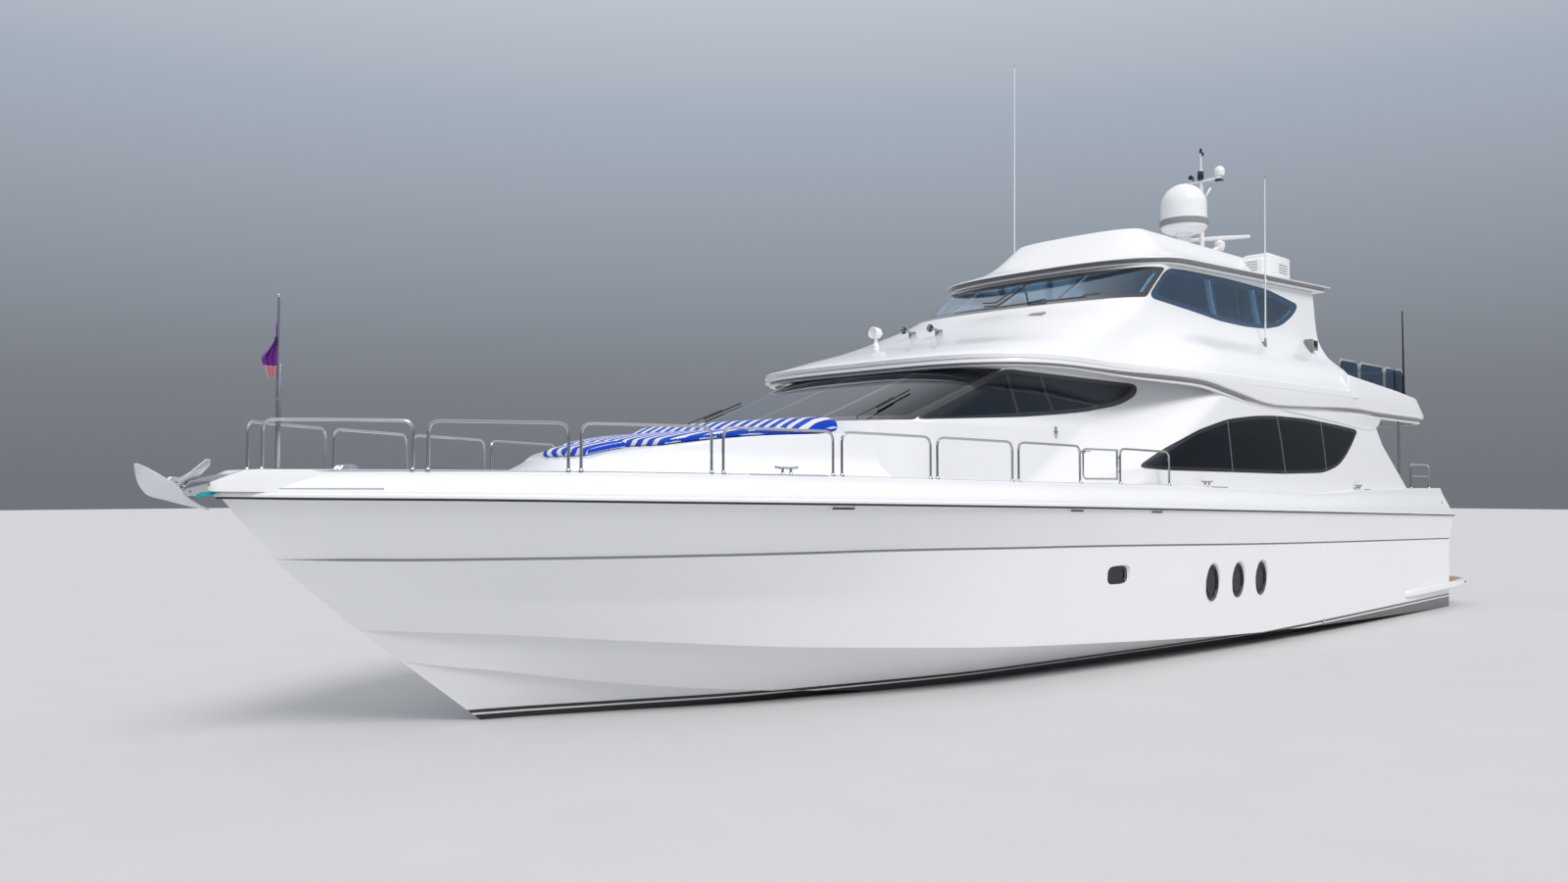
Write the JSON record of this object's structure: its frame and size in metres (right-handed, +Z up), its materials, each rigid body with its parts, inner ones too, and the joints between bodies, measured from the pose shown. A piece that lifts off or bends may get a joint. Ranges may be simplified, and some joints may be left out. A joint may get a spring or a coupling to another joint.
{
  "type": "motor yacht",
  "caption": "White enclosed-bridge motor yacht afloat, with flybridge deck, side rails with opening gates, doors, propellers, rudders and a radar scanner.",
  "frame": {"origin": "on the centreline at the waterline, midway between the stem head and the transom", "axes": "+X to the bow, +Y to port, +Z up"},
  "size_m": [26.152, 6.616, 12.664],
  "materials": {
    "topsides": "gloss white topsides over black bottom paint",
    "gelcoat": "bright gloss white gelcoat",
    "stainless": "polished stainless steel",
    "tinted_glass": "very dark tinted glass, flush",
    "smoked_glass": "smoked blue acrylic",
    "dark_metal": "black paint",
    "pad_cloth": "blue and white striped towelling",
    "pennant_cloth": "purple and white cloth",
    "upholstery": "cream leather",
    "joinery": "satin cherry veneer",
    "bronze": "bare propeller bronze"
  },
  "bodies": {
    "yacht": {"hull": "topsides", "bulwark": "gelcoat", "rub_rail": "stainless", "swim_platform": "gelcoat", "foredeck_trunk": "gelcoat", "main_house": "gelcoat", "main_windscreen": "tinted_glass", "main_side_glass_port": "tinted_glass", "main_side_glass_starboard": "tinted_glass", "saloon_glass_port": "tinted_glass", "saloon_glass_starboard": "tinted_glass", "boat_deck": "gelcoat", "upper_house": "gelcoat", "bridge_windscreen": "tinted_glass", "bridge_side_glass_port": "tinted_glass", "bridge_side_glass_starboard": "tinted_glass", "hardtop": "gelcoat", "side_rail_port": "stainless", "side_rail_starboard": "stainless", "bow_roller": "stainless", "anchor": "stainless", "windlass": "stainless", "bow_staff": "stainless", "pennant": "pennant_cloth", "sun_pad_forward": "pad_cloth", "sun_pad_aft": "pad_cloth", "dome_pedestal": "gelcoat", "satellite_dome": "gelcoat", "mast": "gelcoat", "small_dome": "gelcoat", "roof_locker": "gelcoat", "whip_port": "gelcoat", "whip_starboard": "gelcoat", "boat_deck_rail": "stainless", "ensign_staff": "dark_metal", "rail_panel_port": "smoked_glass", "rail_panel_starboard": "smoked_glass", "overhang_pole_port": "stainless", "overhang_pole_starboard": "stainless", "stern_rail_port": "stainless", "stern_rail_starboard": "stainless", "helm_console": "upholstery", "helm_chair": "upholstery", "bridge_sofa": "upholstery", "saloon_sofa": "upholstery", "galley_counter": "joinery", "cockpit_bench": "upholstery", "propeller_shaft_port": "stainless", "propeller_shaft_starboard": "stainless"},
    "saloon_door": {"saloon_door": "tinted_glass"},
    "bridge_door": {"bridge_door": "tinted_glass"},
    "transom_gate": {"transom_gate": "gelcoat"},
    "side_gate_port": {"side_gate_port": "stainless"},
    "side_gate_starboard": {"side_gate_starboard": "stainless"},
    "radar_scanner": {"radar_scanner": "gelcoat"},
    "propeller_port": {"propeller_port": "bronze"},
    "propeller_starboard": {"propeller_starboard": "bronze"},
    "rudder_port": {"rudder_port": "stainless"},
    "rudder_starboard": {"rudder_starboard": "stainless"}
  },
  "joints": [
    {"name": "saloon_door_slide", "type": "slide", "parent": "yacht", "child": "saloon_door", "axis": [0, 1, 0], "range_m": [0, 0.95]},
    {"name": "bridge_door_slide", "type": "slide", "parent": "yacht", "child": "bridge_door", "axis": [0, 1, 0], "range_m": [0, 0.86]},
    {"name": "transom_gate_hinge", "type": "hinge", "parent": "yacht", "child": "transom_gate", "pos_m": [-11.03, -2.2196, 2.2], "axis": [0, 0, 1], "range_deg": [0, 90]},
    {"name": "side_gate_port_hinge", "type": "hinge", "parent": "yacht", "child": "side_gate_port", "pos_m": [1.562, 3.137, 2.8], "axis": [0, 0, 1], "range_deg": [0, 100]},
    {"name": "side_gate_starboard_hinge", "type": "hinge", "parent": "yacht", "child": "side_gate_starboard", "pos_m": [1.562, -3.137, 2.8], "axis": [0, 0, -1], "range_deg": [0, 100]},
    {"name": "radar_spin", "type": "hinge", "parent": "yacht", "child": "radar_scanner", "pos_m": [-7.7, 0, 7.65], "axis": [0, 0, 1], "continuous": true},
    {"name": "propeller_port_spin", "type": "hinge", "parent": "yacht", "child": "propeller_port", "pos_m": [-9.35, 1.35, -1.15], "axis": [0.9972, 0, 0.0748], "continuous": true},
    {"name": "propeller_starboard_spin", "type": "hinge", "parent": "yacht", "child": "propeller_starboard", "pos_m": [-9.35, -1.35, -1.15], "axis": [0.9972, 0, 0.0748], "continuous": true},
    {"name": "rudder_port_turn", "type": "hinge", "parent": "yacht", "child": "rudder_port", "pos_m": [-10.45, 1.35, -0.9], "axis": [0, 0, 1], "range_deg": [-35, 35]},
    {"name": "rudder_starboard_turn", "type": "hinge", "parent": "yacht", "child": "rudder_starboard", "pos_m": [-10.45, -1.35, -0.9], "axis": [0, 0, 1], "range_deg": [-35, 35]}
  ],
  "couplings": [
    {"joint": "rudder_starboard_turn", "follows": "rudder_port_turn", "ratio": 1}
  ]
}
